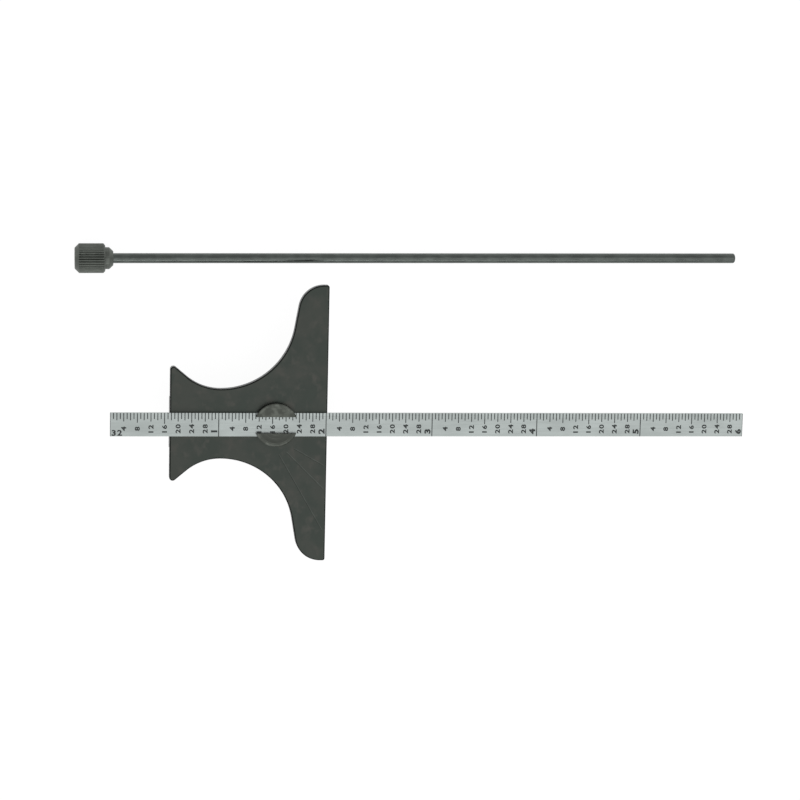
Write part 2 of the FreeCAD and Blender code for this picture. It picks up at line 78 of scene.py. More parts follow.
RULE_LOW, RULE_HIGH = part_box("rule")
HEAD_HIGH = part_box("head")[1]
CAP_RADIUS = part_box("turret")[1].y
WASHER_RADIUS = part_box("thrust_washer")[1].y
SPRING_LOW, SPRING_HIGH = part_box("friction_spring")

# The head has a scribed line for each of these turns of the rule, in degrees
SCRIBED_ANGLES = (30.0, 45.0, 60.0)
# Each inch of the rule has a numeral at its eighths
EIGHTHS = 8
# A figure of the built-in font takes this share of its height along the line
FIGURE_ROOM_SHARE = 0.62
# Straight pieces in each bend of a figure's outline
FIGURE_BEND_STEPS = 3
# Corners of a mesh that are closer than this, in metres, are one
MERGE_DISTANCE = 1e-7
# The part of the head that is this close to its furthest X is its bearing face
BEARING_REACH = 0.02 * MM
# The camera's sensor in millimetres, and the nearest thing that it shows in metres
SENSOR_WIDTH = 36.0
NEAREST_SEEN = 0.01

# Spans of a noise's values: nearly all of them, the middle ones and the highest
LOW_TO_HIGH = (0.3, 0.7)
MIDDLE = (0.38, 0.62)
PEAKS = (0.5, 0.76)
# Spans of how level a face lies, where 1 is flat: from steep to sloping, and the last bit
# before flat
SLOPING = (0.1, 0.5)
FLAT = (0.96, 0.995)


def linear(code):
    """Linear red, green and blue of an sRGB hex code such as #cdd4d1."""
    shares = [int(code[place:place + 2], 16) / 255 for place in (1, 3, 5)]
    return tuple(
        share / 12.92 if share <= 0.04045 else ((share + 0.055) / 1.055) ** 2.4 for share in shares)


def length_setting(name, description, default):
    return bpy.props.FloatProperty(
        name=name, description=description, default=default, min=0.0, precision=5,
        subtype="DISTANCE", unit="LENGTH")


def colour_setting(name, description, code):
    return bpy.props.FloatVectorProperty(
        name=name, description=description, default=linear(code), size=3, min=0.0, max=1.0,
        subtype="COLOR")


class ScaleSettings(bpy.types.PropertyGroup):
    """Sizes of the rule's two scales and of their figures."""

    face_divisions: bpy.props.IntProperty(
        name="Divisions on the face", description="Parts of an inch on the rule's face",
        default=32, min=8)
    back_divisions: bpy.props.IntProperty(
        name="Divisions on the back", description="Parts of an inch on the rule's back",
        default=64, min=8)
    line_share: bpy.props.FloatProperty(
        name="Line share", description="Width of a line as a share of the finest division",
        default=0.27, min=0.05, max=0.6, subtype="FACTOR")
    shortest_line: length_setting(
        "Shortest line", "Length of the finest division's line", 1.45 * MM)
    longest_line: length_setting("Longest line", "Length of the half-inch line", 2.6 * MM)
    part_numeral_height: length_setting(
        "Small numerals", "Height of the parts' numerals", 1.2 * MM)
    part_numeral_advance: length_setting(
        "Small numeral pitch", "Room for one small figure", 1.14 * MM)
    part_numeral_line: length_setting(
        "Small numeral line", "From the rule's middle to theirs", 0.97 * MM)
    inch_numeral_height: length_setting(
        "Inch numerals", "Height of the inches' numerals", 1.5 * MM)
    inch_numeral_advance: length_setting(
        "Inch numeral width", "Room for one inch figure", 1.2 * MM)
    inch_numeral_line: length_setting(
        "Inch numeral line", "From the rule's middle to theirs", 1.58 * MM)
    inch_numeral_back: length_setting(
        "Inch numeral place", "From the inch line to its middle", 1.07 * MM)
    corner_mark_height: length_setting(
        "Corner mark height", "Height of the count of divisions", 1.4 * MM)
    corner_mark_advance: length_setting(
        "Corner mark pitch", "Room for one of its figures", 1.3 * MM)
    corner_mark_line: length_setting(
        "Corner mark line", "From the rule's middle to that mark", 1.95 * MM)
    corner_mark_place: length_setting(
        "Corner mark", "From the zero end to that mark's middle", 1.6 * MM)
    figure_gap: bpy.props.FloatProperty(
        name="Figure gap", description="Room from figure to figure, where 1 is the font's own",
        default=1.2, min=0.8)
    part_numeral_boldness: bpy.props.FloatProperty(
        name="Small numeral boldness",
        description="How much the small figures' strokes are thickened",
        default=0.036, min=0.0, max=0.1)
    inch_numeral_boldness: bpy.props.FloatProperty(
        name="Inch numeral boldness",
        description="How much the inch figures' strokes are thickened",
        default=0.045, min=0.0, max=0.1)
    fill_proud: length_setting("Filling proud", "How far the filling stands out", 0.004 * MM)
    fill_depth: length_setting("Filling depth", "How deep the filling goes", 0.02 * MM)


class HeadSettings(bpy.types.PropertyGroup):
    """Sizes of the lines scribed on the head."""

    flank_width: length_setting("Scribed flank", "Width of each flank of an angle line", 0.14 * MM)
    turret_margin: length_setting("Clear of the turret", "Gap between the cap and a line", 1.6 * MM)
    edge_margin: length_setting(
        "Clear of the base", "Gap between a line and the base edge", 0.7 * MM)


class SpringSettings(bpy.types.PropertyGroup):
    """Wire and turns of the friction spring."""

    wire: length_setting("Wire", "Diameter of the spring's wire", 0.5 * MM)
    turns: bpy.props.FloatProperty(
        name="Turns", description="Turns from end to end", default=2.5, min=1.0)
    turn_points: bpy.props.IntProperty(
        name="Points in a turn", description="Rings of the mesh in each turn", default=48, min=12)
    wire_points: bpy.props.IntProperty(
        name="Points round the wire", description="Points in each ring", default=16, min=6)


class FinishSettings(bpy.types.PropertyGroup):
    """Colours of the finishes."""

    black_oxide: colour_setting("Black oxide", "Blackened head", "#454844")
    black_oxide_warm: colour_setting("Thin black oxide", "Where the blacking is thin", "#4a4b47")
    black_oxide_cool: colour_setting("Thick black oxide", "Where the blacking is thick", "#3e433f")
    # Painted shade: the colour given to the head's edges and side walls
    black_oxide_edge: colour_setting(
        "Edge shade on black oxide", "Edges and side walls, painted darker as shade", "#242624")
    # Painted light and shade: a lighter colour for one flank of each scribed line, a darker one for
    # the other
    scribed_bright: colour_setting(
        "Scribed bright", "Flank of a line painted lighter, as lit", "#535753")
    scribed_dark: colour_setting(
        "Scribed dark", "Flank of a line painted darker, as shaded", "#393d39")
    ground_steel: colour_setting("Ground steel", "Ground bearing face", "#8f9391")
    satin_steel: colour_setting("Satin steel", "Face of the rule", "#adb4b2")
    scale_black: colour_setting("Scale filling", "Black in the engraved lines", "#262b2b")
    turned_steel: colour_setting("Turned steel", "Cap of the turret", "#50534e")
    # Blacking on the turret's round sides, painted darker than the head's blacking as the shade
    # round the cap
    turned_side: colour_setting(
        "Turned side", "Blacking on the turret's round sides, painted darker as shade", "#232420")
    rod_black: colour_setting("Rod blacking", "Measuring rod", "#5d625f")
    knob_black: colour_setting("Knob blacking", "Knurled knob and nut", "#646863")
    spring_wire: colour_setting("Spring wire", "Drawn spring wire", "#8f8c85")
    washer_steel: colour_setting("Washer steel", "Plain washer", "#a4a49f")
    floor: colour_setting("Floor", "Pale floor", "#f1f1ef")


class GrainSettings(bpy.types.PropertyGroup):
    """Real sizes of what the finishes show, some of them drawn coarser so that they show."""

    oxide_cloud: length_setting("Oxide cloud", "Across a cloud in the head's blacking", 5.5 * MM)
    oxide_patch: length_setting("Thin patch", "Across a patch of thin blacking", 2.0 * MM)
    grinding_pitch: length_setting(
        "Grinding pitch", "Between grinding lines on the head", 0.15 * MM)
    scribed_grain: length_setting(
        "Scribed grain", "Along an even stretch of a scribed line", 2.0 * MM)
    brushing_pitch: length_setting("Brushing pitch", "Between the rule's brushed lines", 0.12 * MM)
    handling: length_setting("Handling", "Across a dull spot on the rule", 6.0 * MM)
    cap_ring_pitch: length_setting("Cap rings", "Between turned rings on the turret", 0.22 * MM)
    washer_ring_pitch: length_setting(
        "Washer rings", "Between turned rings on the washer", 0.3 * MM)
    tarnish: length_setting("Tarnish", "Across a tarnished spot on turned steel", 1.8 * MM)
    # The rim of a turned face is painted bright over this width, as a highlight
    rim_wear: length_setting("Rim wear", "Width of the ring painted bright on the cap's rim", 0.75 * MM)
    bar_cloud: length_setting("Bar cloud", "Across a cloud on the rod and the knobs", 3.0 * MM)
    bar_grain: length_setting("Bar grain", "Between drawing lines on the rod", 0.2 * MM)
    filling_grain: length_setting("Filling grain", "Across a spot in the scale filling", 0.35 * MM)


class StudioSettings(bpy.types.PropertyGroup):
    """Camera and lamps."""

    camera_place: bpy.props.FloatVectorProperty(
        name="Camera place", description="Where the camera stands",
        default=(-55.92 * MM, 91.52 * MM, 592.76 * MM), subtype="TRANSLATION", unit="LENGTH")
    camera_aim: bpy.props.FloatVectorProperty(
        name="Camera aim", description="Point on the head's level that the camera looks at",
        default=(29.59 * MM, 5.82 * MM, 13.35 * MM), subtype="TRANSLATION", unit="LENGTH")
    camera_roll: bpy.props.FloatProperty(
        name="Camera roll", description="Turn of the camera about its own line of sight",
        default=math.radians(1.345), subtype="ANGLE", unit="ROTATION")
    camera_lens: bpy.props.FloatProperty(
        name="Camera lens", description="Focal length on a sensor 36 mm wide",
        default=112.05, min=1.0, subtype="DISTANCE_CAMERA", unit="CAMERA")
    floor_side: length_setting("Floor", "Side of the floor", 12.0)
    softbox_way: bpy.props.FloatVectorProperty(
        name="Softbox direction", description="From the head to the overhead softbox",
        default=(0.17, -0.2, 0.97), subtype="DIRECTION")
    softbox_length: length_setting(
        "Softbox length", "Side of the overhead softbox along the rule", 1.25)
    softbox_width: length_setting(
        "Softbox width", "Side of the overhead softbox across the rule", 0.75)
    softbox_distance: length_setting("Softbox distance", "From the head to the softbox", 1.05)
    softbox_level: bpy.props.FloatProperty(
        name="Softbox level", description="Brightness of the softbox, where 1 is white",
        default=0.6, min=0.0)
    key_way: bpy.props.FloatVectorProperty(
        name="Key light direction", description="From the head to the key light",
        default=(0.1, -0.75, 0.65), subtype="DIRECTION")
    key_length: length_setting("Key light length", "Side of the key light along the rule", 0.5)
    key_width: length_setting("Key light width", "Side of the key light across the rule", 0.25)
    key_distance: length_setting("Key light distance", "From the head to the key light", 0.85)
    key_level: bpy.props.FloatProperty(
        name="Key light level", description="Brightness of the key light, where 1 is white",
        default=2.0, min=0.0)
    room_level: bpy.props.FloatProperty(
        name="Room level", description="Brightness of the room above the white backdrop",
        default=0.65, min=0.0)
    backdrop_rise: bpy.props.FloatProperty(
        name="Backdrop",
        description="How high the white backdrop stands, as the sine of its angle",
        default=0.12, min=0.0, max=1.0)
    floor_glow: bpy.props.FloatProperty(
        name="Floor glow", description="Share of the floor's white that no shadow reaches",
        default=0.93, min=0.0, max=1.0)
    floor_shade: bpy.props.FloatProperty(
        name="Floor shade", description="Share of the floor's light that the object can shade",
        default=0.13, min=0.0, max=1.0)


def add_node(tree, kind, settings=None, inputs=None):
    """Add a node with its own settings, and give its inputs numbers or links from other sockets."""
    node = tree.nodes.new(kind)
    for key, value in (settings or {}).items():
        setattr(node, key, value)
    for key, value in (inputs or {}).items():
        if isinstance(value, bpy.types.NodeSocket):
            tree.links.new(value, node.inputs[key])
        else:
            node.inputs[key].default_value = value
    return node


def shaded(colour, factor=1.0):
    """A colour setting made lighter or darker, as the four numbers that a colour socket takes."""
    return (*[min(1.0, share * factor) for share in colour], 1.0)


def grain_pattern(tree, place, grain, stretch=(1.0, 1.0, 1.0), detail=2.0):
    """Noise with grains of a real size in metres, longer or shorter along each axis."""
    scale = [1 / (grain * way) for way in stretch]
    mapped = add_node(tree, "ShaderNodeMapping", None, {"Vector": place, "Scale": scale})
    return add_node(tree, "ShaderNodeTexNoise", None,
                    {"Vector": mapped.outputs[0], "Scale": 1.0, "Detail": detail}).outputs[0]


def turn_colour(tree, value, span, one, other, most=1.0):
    """One colour that turns smoothly into another, or a share of the way there, while a value
    rises through a span."""
    share = add_node(tree, "ShaderNodeMapRange", {"interpolation_type": "SMOOTHSTEP"}, {
        "Value": value, "From Min": span[0], "From Max": span[1], "To Max": most})
    # A Mix node keeps its two colours in sockets 6 and 7, and gives their mixture in output 2
    return add_node(tree, "ShaderNodeMix", {"data_type": "RGBA"},
                    {0: share.outputs[0], 6: one, 7: other}).outputs[2]


def new_finish(name):
    """An empty material: its tree, its shader and the object's own coordinates."""
    material = bpy.data.materials.new(name)
    material.use_nodes = True
    tree = material.node_tree
    tree.nodes.clear()
    shader = add_node(tree, "ShaderNodeBsdfPrincipled")
    add_node(tree, "ShaderNodeOutputMaterial", None, {"Surface": shader.outputs[0]})
    place = add_node(tree, "ShaderNodeTexCoord").outputs
    return material, tree, shader, place


def finish_metal(tree, shader, colour, uneven, roughness, swing, relief, depth):
    """Give a metal its colour, a roughness that swings with one pattern, and the fine relief of
    another, of a real depth in metres."""
    rough = add_node(tree, "ShaderNodeMapRange", None, {
        "Value": uneven, "From Min": LOW_TO_HIGH[0], "From Max": LOW_TO_HIGH[1],
        "To Min": roughness - swing, "To Max": roughness + swing})
    bump = add_node(tree, "ShaderNodeBump", None,
                    {"Height": relief, "Distance": depth, "Strength": 1.0})
    shader.inputs["Metallic"].default_value = 1.0
    tree.links.new(colour, shader.inputs["Base Color"])
    tree.links.new(rough.outputs[0], shader.inputs["Roughness"])
    tree.links.new(bump.outputs[0], shader.inputs["Normal"])


def blackened_plate_finish(colours, grains):
    """Ground plate steel, blackened in a hot bath: even dark grey with a satin sheen, cloudy where
    the oxide is thicker, painted darker on its edges and side walls as shade, and ground bright
    on its bearing face."""
    material, tree, shader, place = new_finish("Blackened ground steel")
    clouds = grain_pattern(tree, place["Object"], grains.oxide_cloud, detail=3.0)
    patches = grain_pattern(tree, place["Object"], grains.oxide_patch, stretch=(1.0, 1.3, 1.0))
    # Grinding lines run along the base, 40 times as long as they are wide, and are drawn coarser
    # than a real wheel leaves them
    lines = grain_pattern(
        tree, place["Object"], grains.grinding_pitch, stretch=(1.0, 40.0, 1.0), detail=1.0)
    oxide = turn_colour(
        tree, clouds, MIDDLE, shaded(colours.black_oxide_cool), shaded(colours.black_oxide))
    oxide = turn_colour(tree, patches, PEAKS, oxide, shaded(colours.black_oxide_warm))
    normal = add_node(tree, "ShaderNodeSeparateXYZ", None, {0: place["Normal"]}).outputs
    level = add_node(tree, "ShaderNodeMath", {"operation": "ABSOLUTE"}, {0: normal[2]}).outputs[0]
    # Painted shade: faces that don't lie flat, the edges and side walls, turn to the darker colour
    colour = turn_colour(tree, level, FLAT, shaded(colours.black_oxide_edge), oxide)
    # The bearing face is the only one that reaches the head's furthest X
    point = add_node(tree, "ShaderNodeSeparateXYZ", None, {0: place["Object"]}).outputs
    bearing = (HEAD_HIGH.x - BEARING_REACH, HEAD_HIGH.x - BEARING_REACH / 2)
    colour = turn_colour(tree, point[0], bearing, colour, shaded(colours.ground_steel))
    finish_metal(tree, shader, colour, uneven=clouds, roughness=0.38, swing=0.05,
                 relief=lines, depth=0.004 * MM)
    return material


def scribed_flank_finish(name, colour, grains):
    """One flank of a line that a graver cut in the plate before its blacking, slightly uneven. One
    flank is painted lighter as lit, the other darker as shaded.
    """
    material, tree, shader, place = new_finish(name)
    dulled = grain_pattern(tree, place["Object"], grains.scribed_grain)
    dull = shaded(colour, 0.85)
    shade = turn_colour(tree, dulled, MIDDLE, shaded(colour), dull)
    finish_metal(tree, shader, shade, uneven=dulled, roughness=0.38, swing=0.05,
                 relief=dulled, depth=0.002 * MM)
    return material


def satin_rule_finish(colours, grains):
    """Tempered rule steel with a satin face: pale, with fine lines of brushing along its length."""
    material, tree, shader, place = new_finish("Satin rule steel")
    # Brushing is drawn coarser than the belt leaves it, in strokes 70 times as long as they are
    # wide, and hands leave dull spots that are drawn out along the rule
    brushing = grain_pattern(
        tree, place["Object"], grains.brushing_pitch, stretch=(70.0, 1.0, 1.0))
    handling = grain_pattern(
        tree, place["Object"], grains.handling, stretch=(1.6, 0.6, 1.0), detail=3.0)
    dull = shaded(colours.satin_steel, 0.86)
    colour = turn_colour(tree, handling, LOW_TO_HIGH, shaded(colours.satin_steel), dull)
    colour = turn_colour(tree, brushing, PEAKS, colour, dull)
    finish_metal(tree, shader, colour, uneven=brushing, roughness=0.36, swing=0.05,
                 relief=brushing, depth=0.002 * MM)
    return material


def turned_finish(name, colour, side_colour, ring_pitch, roughness, rim_radius, grains):
    """Steel faced in a lathe: rings round the axis, drawn at a pitch that shows, a rim painted
    bright as a highlight, one side painted lighter and the other darker as light and shade, a light
    tarnish, and another colour on the round sides, which on the turret is blacking painted darker
    as shade."""
    material, tree, shader, place = new_finish(name)
    flat = add_node(tree, "ShaderNodeVectorMath", {"operation": "MULTIPLY"},
                    {0: place["Object"], 1: (1.0, 1.0, 0.0)})
    radius = add_node(tree, "ShaderNodeVectorMath", {"operation": "LENGTH"},
                      {0: flat.outputs[0]}).outputs["Value"]
    point = add_node(tree, "ShaderNodeSeparateXYZ", None, {0: place["Object"]}).outputs
    normal = add_node(tree, "ShaderNodeSeparateXYZ", None, {0: place["Normal"]}).outputs
    level = add_node(tree, "ShaderNodeMath", {"operation": "ABSOLUTE"}, {0: normal[2]}).outputs[0]
    # The sum of radius and height rings both the flat faces and the round ones
    along = add_node(tree, "ShaderNodeMath", {"operation": "ADD"},
                     {0: radius, 1: point[2]}).outputs[0]
    rings = add_node(tree, "ShaderNodeTexNoise", {"noise_dimensions": "1D"},
                     {"W": along, "Scale": 1 / ring_pitch, "Detail": 1.0}).outputs[0]
    tarnish = grain_pattern(tree, place["Object"], grains.tarnish, detail=3.0)
    painted_shade_half, rubbed_and_lit = shaded(colour, 0.6), shaded(colour, 1.6)
    ring_colour, tarnished = shaded(colour, 1.3), shaded(colour, 0.8)
    across = (-rim_radius, rim_radius)
    rim = (rim_radius - grains.rim_wear, rim_radius - grains.rim_wear / 2)
    # Painted light and shade: the face is painted darker towards -Y and lighter towards +Y
    face = turn_colour(tree, point[1], across, painted_shade_half, rubbed_and_lit)
    face = turn_colour(tree, rings, PEAKS, face, ring_colour)
    # Painted highlight: a brighter ring on the rim
    face = turn_colour(tree, radius, rim, face, rubbed_and_lit)
    face = turn_colour(tree, tarnish, MIDDLE, face, tarnished, most=0.8)
    # The round sides take the side colour; on the turret that is blacking painted darker as shade
    face = turn_colour(tree, level, SLOPING, shaded(side_colour), face)
    finish_metal(tree, shader, face, uneven=tarnish, roughness=roughness, swing=0.06,
                 relief=rings, depth=0.006 * MM)
    return material


def drawn_steel_finish(name, colour, roughness, grains):
    """Drawn bar or wire, plain or knurled: fine drawing lines along X, cloudy spots that are a
    little darker, and a little brighter where fingers have worn it."""
    material, tree, shader, place = new_finish(name)
    clouds = grain_pattern(tree, place["Object"], grains.bar_cloud, detail=3.0)
    grain = grain_pattern(tree, place["Object"], grains.bar_grain, stretch=(12.0, 1.0, 1.0))
    cloudy, rubbed_and_lit = shaded(colour, 0.8), shaded(colour, 1.7)
    shade = turn_colour(tree, clouds, MIDDLE, cloudy, shaded(colour))
    shade = turn_colour(tree, grain, PEAKS, shade, rubbed_and_lit, most=0.35)
    finish_metal(tree, shader, shade, uneven=clouds, roughness=roughness, swing=0.06,
                 relief=grain, depth=0.004 * MM)
    return material


def scale_filling_finish(colour, grains):
    """Matt black paint wiped into the engraved lines and figures, and worn paler in small spots."""
    material, tree, shader, place = new_finish("Black scale filling")
    uneven = grain_pattern(tree, place["Object"], grains.filling_grain)
    worn = shaded(colour, 1.6)
    matt = 0.6
    shade = turn_colour(tree, uneven, PEAKS, shaded(colour), worn)
    tree.links.new(shade, shader.inputs["Base Color"])
    shader.inputs["Roughness"].default_value = matt
    return material


def dress(node, material):
    """Give a node of the frame a finish, in every material slot it has."""
    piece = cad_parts[node]
    if not piece.material_slots:
        piece.data.materials.append(material)
    for slot in piece.material_slots:
        slot.material = material
    return piece


def link_object(name, data):
    piece = bpy.data.objects.new(name, data)
    bpy.context.scene.collection.objects.link(piece)
    return piece


def plain_mesh(holder):
    """What an object looks like with its modifiers or as text, as a mesh of its own."""
    bpy.context.view_layer.update()
    evaluated = holder.evaluated_get(bpy.context.evaluated_depsgraph_get())
    return bpy.data.meshes.new_from_object(evaluated)


def grow(name, tree, values, mesh=None):
    """Run a node tree on a mesh and keep the outcome as an ordinary piece at the origin."""
    piece = link_object(name, mesh or bpy.data.meshes.new(name))
    modifier = piece.modifiers.new(name, "NODES")
    modifier.node_group = tree
    for item in tree.interface.items_tree:
        if item.item_type == "SOCKET" and item.in_out == "INPUT" and item.name in values:
            modifier[item.identifier] = values[item.name]
    grown = plain_mesh(piece)
    piece.modifiers.remove(modifier)
    piece.data = grown
    grown.name = name
    return piece


def new_tree(name, wanted):
    """A geometry tree with named inputs, its input node and a function that closes it."""
    tree = bpy.data.node_groups.new(name, "GeometryNodeTree")
    tree.interface.new_socket(name="Geometry", in_out="INPUT", socket_type="NodeSocketGeometry")
    tree.interface.new_socket(name="Geometry", in_out="OUTPUT", socket_type="NodeSocketGeometry")
    for label, kind in wanted:
        tree.interface.new_socket(name=label, in_out="INPUT", socket_type=f"NodeSocket{kind}")
    given = add_node(tree, "NodeGroupInput").outputs

    def close(geometry):
        real = add_node(tree, "GeometryNodeRealizeInstances", None, {0: geometry})
        dressed = add_node(tree, "GeometryNodeSetMaterial", None,
                           {"Geometry": real.outputs[0], "Material": given["Material"]})
        add_node(tree, "NodeGroupOutput", None, {0: dressed.outputs[0]})

    return tree, given, close


def row_of_points(tree, given):
    """Points along X, as many and as far apart as the tree's inputs say."""
    step = add_node(tree, "ShaderNodeCombineXYZ", None, {0: given["Spacing"]})
    return add_node(tree, "GeometryNodeMeshLine", {"mode": "OFFSET"},
                    {"Count": given["Count"], "Offset": step.outputs[0]}).outputs[0]


def graduation_tree(divisions):
    """Lines that hang from a rule's edge, one each division, longer at each rounder part of an
    inch."""
    tree, given, close = new_tree(f"Graduation in {divisions} parts", [
        ("Count", "Int"), ("Spacing", "Float"), ("Line Width", "Float"),
        ("Line Thickness", "Float"), ("Shortest Line", "Float"), ("Length Step", "Float"),
        ("Inch Line", "Float"), ("Material", "Material")])
    index = add_node(tree, "GeometryNodeInputIndex").outputs[0]

    def lengthened(length, step, extra):
        """The length, with an extra for each line whose number is a whole multiple of a step."""
        remainder = add_node(tree, "ShaderNodeMath", {"operation": "FLOORED_MODULO"},
                             {0: index, 1: float(step)})
        falls = add_node(tree, "ShaderNodeMath", {"operation": "LESS_THAN"},
                         {0: remainder.outputs[0], 1: 0.5})
        return add_node(tree, "ShaderNodeMath", {"operation": "MULTIPLY_ADD"},
                        {0: falls.outputs[0], 1: extra, 2: length}).outputs[0]

    length = given["Shortest Line"]
    step = 2
    while step < divisions:
        length = lengthened(length, step, given["Length Step"])
        step *= 2
    # The whole inches' extra takes them past the rule's far edge, so they are cut at its width
    length = lengthened(length, divisions, given["Inch Line"])
    length = add_node(tree, "ShaderNodeMath", {"operation": "MINIMUM"},
                      {0: length, 1: given["Inch Line"]}).outputs[0]
    size = add_node(tree, "ShaderNodeCombineXYZ", None,
                    {0: given["Line Width"], 1: 1.0, 2: given["Line Thickness"]})
    # A bar one metre long hangs from its own end, and each line is that bar shortened
    bar = add_node(tree, "GeometryNodeMeshCube", None, {"Size": size.outputs[0]})
    hung = add_node(tree, "GeometryNodeTransform", None,
                    {"Geometry": bar.outputs[0], "Translation": (0.0, -0.5, 0.0)})
    stretch = add_node(tree, "ShaderNodeCombineXYZ", None, {0: 1.0, 1: length, 2: 1.0})
    placed = add_node(tree, "GeometryNodeInstanceOnPoints", None,
                      {"Points": row_of_points(tree, given), "Instance": hung.outputs[0],
                       "Scale": stretch.outputs[0]})
    close(placed.outputs[0])
    return tree


def repeat_tree():
    """Copies of a mesh in a row along X."""
    tree, given, close = new_tree("Repeat each inch", [
        ("Count", "Int"), ("Spacing", "Float"), ("Material", "Material")])
    placed = add_node(tree, "GeometryNodeInstanceOnPoints", None,
                      {"Points": row_of_points(tree, given), "Instance": given["Geometry"]})
    close(placed.outputs[0])
    return tree


def coil_tree():
    """Round wire wound into an open right-hand coil that climbs along Z."""
    tree, given, close = new_tree("Coil spring", [
        ("Turns", "Float"), ("Coil Radius", "Float"), ("Rise", "Float"), ("Wire Radius", "Float"),
        ("Turn Points", "Int"), ("Wire Points", "Int"), ("Bottom", "Float"),
        ("Material", "Material")])
    coil = add_node(tree, "GeometryNodeCurveSpiral", None, {
        "Resolution": given["Turn Points"], "Rotations": given["Turns"],
        "Start Radius": given["Coil Radius"], "End Radius": given["Coil Radius"],
        "Height": given["Rise"], "Reverse": True})
    ring = add_node(tree, "GeometryNodeCurvePrimitiveCircle", None, {
        "Resolution": given["Wire Points"], "Radius": given["Wire Radius"]})
    wire = add_node(tree, "GeometryNodeCurveToMesh", None, {
        "Curve": coil.outputs[0], "Profile Curve": ring.outputs[0], "Fill Caps": True})
    lift = add_node(tree, "ShaderNodeCombineXYZ", None, {2: given["Bottom"]})
    lifted = add_node(tree, "GeometryNodeTransform", None,
                      {"Geometry": wire.outputs[0], "Translation": lift.outputs[0]})
    close(lifted.outputs[0])
    return tree


def figure_mesh(text, height, advance, thickness, boldness, gap):
    """A number as a closed flat mesh about the origin, of a given height and a given room for
    each figure."""
    curve = bpy.data.curves.new(text, "FONT")
    curve.body = text
    curve.align_x = "CENTER"
    curve.resolution_u = FIGURE_BEND_STEPS
    # Any depth does here, because the mesh is scaled to the filling's thickness
    curve.extrude = 0.5
    curve.offset = boldness
    curve.space_character = gap
    holder = link_object(text, curve)
    mesh = plain_mesh(holder)
    bpy.data.objects.remove(holder)
    bpy.data.curves.remove(curve)
    spots = [vertex.co for vertex in mesh.vertices]
    low = Vector([min(spot[axis] for spot in spots) for axis in range(3)])
    high = Vector([max(spot[axis] for spot in spots) for axis in range(3)])
    middle, size = (low + high) / 2, high - low
    tall = height / size.y
    wide = tall * advance / (height * FIGURE_ROOM_SHARE * gap)
    mesh.transform(Matrix.Diagonal((wide, tall, thickness / size.z, 1.0))
                   @ Matrix.Translation(-middle))
    return mesh


def join_meshes(name, placed):
    """One mesh of several, each with its place, with its doubles merged."""
    form = bmesh.new()
    for mesh, place in placed:
        mesh.transform(place)
        form.from_mesh(mesh)
        bpy.data.meshes.remove(mesh)
    bmesh.ops.remove_doubles(form, verts=form.verts, dist=MERGE_DISTANCE)
    joined = bpy.data.meshes.new(name)
    form.to_mesh(joined)
    form.free()
    return joined


class GAUGE_OT_head(bpy.types.Operator):
    """Blacken the head and scribe its angle lines"""

    bl_idname = "gauge.head"
    bl_label = "Head"

    def execute(self, context):
        colours = context.scene.gauge_finishes
        grains = context.scene.gauge_grains
        dress("head", blackened_plate_finish(colours, grains))
        # Painted light and shade: one flank of each scribed line is painted lit, the other shaded
        rubbed_and_lit = scribed_flank_finish("Painted lit flank", colours.scribed_bright, grains)
        black = scribed_flank_finish("Painted shaded flank", colours.scribed_dark, grains)
        for name, place, material in (("painted_lit_flanks", 0.0, rubbed_and_lit), ("painted_shaded_flanks", -1.0, black)):
            self.scribe(name, place, material, context.scene.gauge_head, context.scene.gauge_scales)
        return {"FINISHED"}

    def scribe(self, name, place, material, sizes, scales):
        """One flank of the lines along which the rule's edge lies when the turret is turned by one
        of the scribed angles, at a place counted in flanks from the edge."""
        half_rule = (RULE_HIGH.y - RULE_LOW.y) / 2
        start = CAP_RADIUS + sizes.turret_margin
        thickness = scales.fill_proud + scales.fill_depth
        form = bmesh.new()
        for angle in SCRIBED_ANGLES:
            turn = math.radians(-angle)
            end = (HEAD_HIGH.x - sizes.edge_margin - half_rule * math.sin(turn)) / math.cos(turn)
            middle = Vector(((start + end) / 2, place * sizes.flank_width - half_rule,
                             HEAD_HIGH.z + scales.fill_proud - thickness / 2))
            size = Matrix.Diagonal((end - start, sizes.flank_width, thickness, 1.0))
            place_on_head = Matrix.Rotation(turn, 4, "Z") @ Matrix.Translation(middle)
            bmesh.ops.create_cube(form, size=1.0, matrix=place_on_head @ size)
        mesh = bpy.data.meshes.new(name)
        form.to_mesh(mesh)
        form.free()
        mesh.materials.append(material)
        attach(link_object(name, mesh), "head_body")


class GAUGE_OT_turret(bpy.types.Operator):
    """Finish the turned clamp turret"""

    bl_idname = "gauge.turret"
    bl_label = "Turret"

    def execute(self, context):
        colours = context.scene.gauge_finishes
        grains = context.scene.gauge_grains
        dress("turret", turned_finish(
            "Turned grey steel", colours.turned_steel, colours.turned_side, grains.cap_ring_pitch,
            roughness=0.4, rim_radius=CAP_RADIUS, grains=grains))
        return {"FINISHED"}


